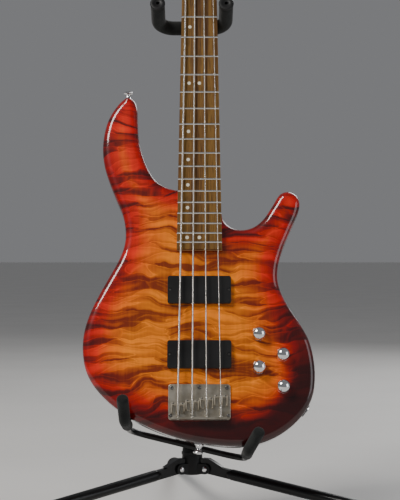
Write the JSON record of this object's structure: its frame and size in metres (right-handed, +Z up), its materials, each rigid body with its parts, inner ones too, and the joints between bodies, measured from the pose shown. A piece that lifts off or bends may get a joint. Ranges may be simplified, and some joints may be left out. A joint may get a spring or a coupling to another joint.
{
  "type": "guitar on stand",
  "caption": "Electric bass guitar with a sunburst solid body and bolt-on neck, leaning on a black folding tripod stand with a padded lower cradle and a padded neck yoke.",
  "frame": {"origin": "on the floor under the middle of the whole object's box", "axes": "+Z up; the guitar faces -Y, with its treble side on +X; the stand's mast is parallel to Z"},
  "size_m": [0.6836, 0.6154, 1.1881],
  "materials": {
    "top_finish": "gloss lacquer over quilted maple, amber to dark red sunburst",
    "back_finish": "gloss dark red-brown lacquer",
    "neck_wood": "satin maple",
    "board_wood": "oiled rosewood with silver frets and cream dots",
    "nut_bone": "polished bone",
    "black_plastic": "matte moulded",
    "nickel": "satin nickel plate",
    "chrome": "polished chrome",
    "string_wire": "roundwound steel",
    "circuit": "green circuit board",
    "black_steel": "black powder coat",
    "rubber": "black rubber",
    "foam": "dark grey foam"
  },
  "bodies": {
    "stand": {"mast_tube": "black_steel", "height_collar": "black_plastic", "leg_hub": "black_plastic", "cradle_pivot": "black_plastic", "leg_pin_left": "chrome", "leg_pin_right": "chrome", "leg_pin_rear": "chrome"},
    "left_leg": {"leg_left": "black_steel", "leg_foot_left": "rubber"},
    "right_leg": {"leg_right": "black_steel", "leg_foot_right": "rubber"},
    "rear_leg": {"leg_rear": "black_steel", "leg_foot_rear": "rubber"},
    "upper_mast": {"mast_slider": "black_steel", "yoke": "black_plastic", "yoke_pad": "foam", "yoke_cap_left": "black_plastic", "yoke_cap_right": "black_plastic"},
    "clamp_knob": {"height_knob": "black_plastic"},
    "cradle": {"cradle_arms": "black_steel", "cradle_pad_left": "foam", "cradle_pad_right": "foam"},
    "guitar": {"body_top": "top_finish", "body_back": "back_finish", "control_cover": "black_plastic", "neck": "neck_wood", "fretboard": "board_wood", "nut": "nut_bone", "neck_plate": "chrome", "neck_pickup": "black_plastic", "bridge_pickup": "black_plastic", "bridge_plate": "nickel", "control_board": "circuit", "output_jack": "black_plastic", "strap_button_horn": "chrome", "strap_button_tail": "chrome", "string_e": "string_wire", "string_a": "string_wire", "string_d": "string_wire", "string_g": "string_wire", "tuner_housing_e": "chrome", "tuner_housing_a": "chrome", "tuner_housing_d": "chrome", "tuner_housing_g": "chrome"},
    "neck_volume_knob": {"knob_neck_volume": "chrome"},
    "bridge_volume_knob": {"knob_bridge_volume": "chrome"},
    "treble_knob": {"knob_treble": "chrome"},
    "bass_knob": {"knob_bass": "chrome"},
    "e_saddle": {"saddle_e": "nickel"},
    "a_saddle": {"saddle_a": "nickel"},
    "d_saddle": {"saddle_d": "nickel"},
    "g_saddle": {"saddle_g": "nickel"},
    "e_tuner_post": {"tuner_post_e": "chrome"},
    "a_tuner_post": {"tuner_post_a": "chrome"},
    "d_tuner_post": {"tuner_post_d": "chrome"},
    "g_tuner_post": {"tuner_post_g": "chrome"},
    "e_tuner_key": {"tuner_key_e": "chrome"},
    "a_tuner_key": {"tuner_key_a": "chrome"},
    "d_tuner_key": {"tuner_key_d": "chrome"},
    "g_tuner_key": {"tuner_key_g": "chrome"}
  },
  "joints": [
    {"name": "left_leg_fold", "type": "hinge", "parent": "stand", "child": "left_leg", "pos_m": [-0.03416, -0.09603, 0.06782], "axis": [0.5592, -0.829, 0], "range_deg": [0, 80]},
    {"name": "right_leg_fold", "type": "hinge", "parent": "stand", "child": "right_leg", "pos_m": [0.00662, -0.09282, 0.06782], "axis": [0.4226, 0.9063, 0], "range_deg": [0, 80]},
    {"name": "rear_leg_fold", "type": "hinge", "parent": "stand", "child": "rear_leg", "pos_m": [-0.01673, -0.05948, 0.06782], "axis": [-0.9962, -0.0872, 0], "range_deg": [0, 80]},
    {"name": "mast_height", "type": "slide", "parent": "stand", "child": "upper_mast", "axis": [0, 0, 1], "range_m": [-0.12, 0]},
    {"name": "clamp_knob_turn", "type": "hinge", "parent": "stand", "child": "clamp_knob", "pos_m": [-0.01468, -0.08289, 0.44], "axis": [0, 1, 0], "range_deg": [0, 270]},
    {"name": "guitar_lift", "type": "slide", "parent": "stand", "child": "guitar", "axis": [0, -0.4384, 0.8988], "range_m": [0, 0.2]},
    {"name": "cradle_rock", "type": "hinge", "parent": "stand", "child": "cradle", "pos_m": [-0.01468, -0.08289, 0.1246], "axis": [0, 0.9744, -0.225], "range_deg": [-14, 0]},
    {"name": "neck_volume_turn", "type": "hinge", "parent": "guitar", "child": "neck_volume_knob", "pos_m": [0.07572, -0.22972, 0.27066], "axis": [0, -0.9744, 0.225], "range_deg": [-150, 150]},
    {"name": "bridge_volume_turn", "type": "hinge", "parent": "guitar", "child": "bridge_volume_knob", "pos_m": [0.10772, -0.23602, 0.24338], "axis": [0, -0.9744, 0.225], "range_deg": [-150, 150]},
    {"name": "treble_turn", "type": "hinge", "parent": "guitar", "child": "treble_knob", "pos_m": [0.07572, -0.23984, 0.22682], "axis": [0, -0.9744, 0.225], "range_deg": [-150, 150]},
    {"name": "bass_turn", "type": "hinge", "parent": "guitar", "child": "bass_knob", "pos_m": [0.10772, -0.24569, 0.20148], "axis": [0, -0.9744, 0.225], "range_deg": [-150, 150]},
    {"name": "e_saddle_intonation", "type": "slide", "parent": "guitar", "child": "e_saddle", "axis": [0, 0.225, 0.9744], "range_m": [0, 0.006]},
    {"name": "a_saddle_intonation", "type": "slide", "parent": "guitar", "child": "a_saddle", "axis": [0, 0.225, 0.9744], "range_m": [0, 0.006]},
    {"name": "d_saddle_intonation", "type": "slide", "parent": "guitar", "child": "d_saddle", "axis": [0, 0.225, 0.9744], "range_m": [0, 0.006]},
    {"name": "g_saddle_intonation", "type": "slide", "parent": "guitar", "child": "g_saddle", "axis": [0, 0.225, 0.9744], "range_m": [0, 0.006]},
    {"name": "e_key_turn", "type": "hinge", "parent": "guitar", "child": "e_tuner_key", "pos_m": [-0.02828, -0.02978, 1.05222], "axis": [-1, 0, 0], "continuous": true},
    {"name": "a_key_turn", "type": "hinge", "parent": "guitar", "child": "a_tuner_key", "pos_m": [-0.02828, -0.01539, 1.11458], "axis": [-1, 0, 0], "continuous": true},
    {"name": "d_key_turn", "type": "hinge", "parent": "guitar", "child": "d_tuner_key", "pos_m": [0.01972, -0.01539, 1.11458], "axis": [1, 0, 0], "continuous": true},
    {"name": "g_key_turn", "type": "hinge", "parent": "guitar", "child": "g_tuner_key", "pos_m": [0.01972, -0.02978, 1.05222], "axis": [1, 0, 0], "continuous": true},
    {"name": "e_post_turn", "type": "hinge", "parent": "guitar", "child": "e_tuner_post", "pos_m": [-0.02828, -0.04571, 1.0677], "axis": [0, -0.9744, 0.225], "continuous": true},
    {"name": "a_post_turn", "type": "hinge", "parent": "guitar", "child": "a_tuner_post", "pos_m": [-0.02828, -0.03132, 1.13006], "axis": [0, -0.9744, 0.225], "continuous": true},
    {"name": "d_post_turn", "type": "hinge", "parent": "guitar", "child": "d_tuner_post", "pos_m": [0.01972, -0.03132, 1.13006], "axis": [0, -0.9744, 0.225], "continuous": true},
    {"name": "g_post_turn", "type": "hinge", "parent": "guitar", "child": "g_tuner_post", "pos_m": [0.01972, -0.04571, 1.0677], "axis": [0, -0.9744, 0.225], "continuous": true}
  ],
  "couplings": [
    {"joint": "cradle_rock", "follows": "guitar_lift", "rad_per_m": -1.1784},
    {"joint": "e_post_turn", "follows": "e_key_turn", "ratio": -0.05},
    {"joint": "a_post_turn", "follows": "a_key_turn", "ratio": -0.05},
    {"joint": "d_post_turn", "follows": "d_key_turn", "ratio": 0.05},
    {"joint": "g_post_turn", "follows": "g_key_turn", "ratio": 0.05}
  ]
}
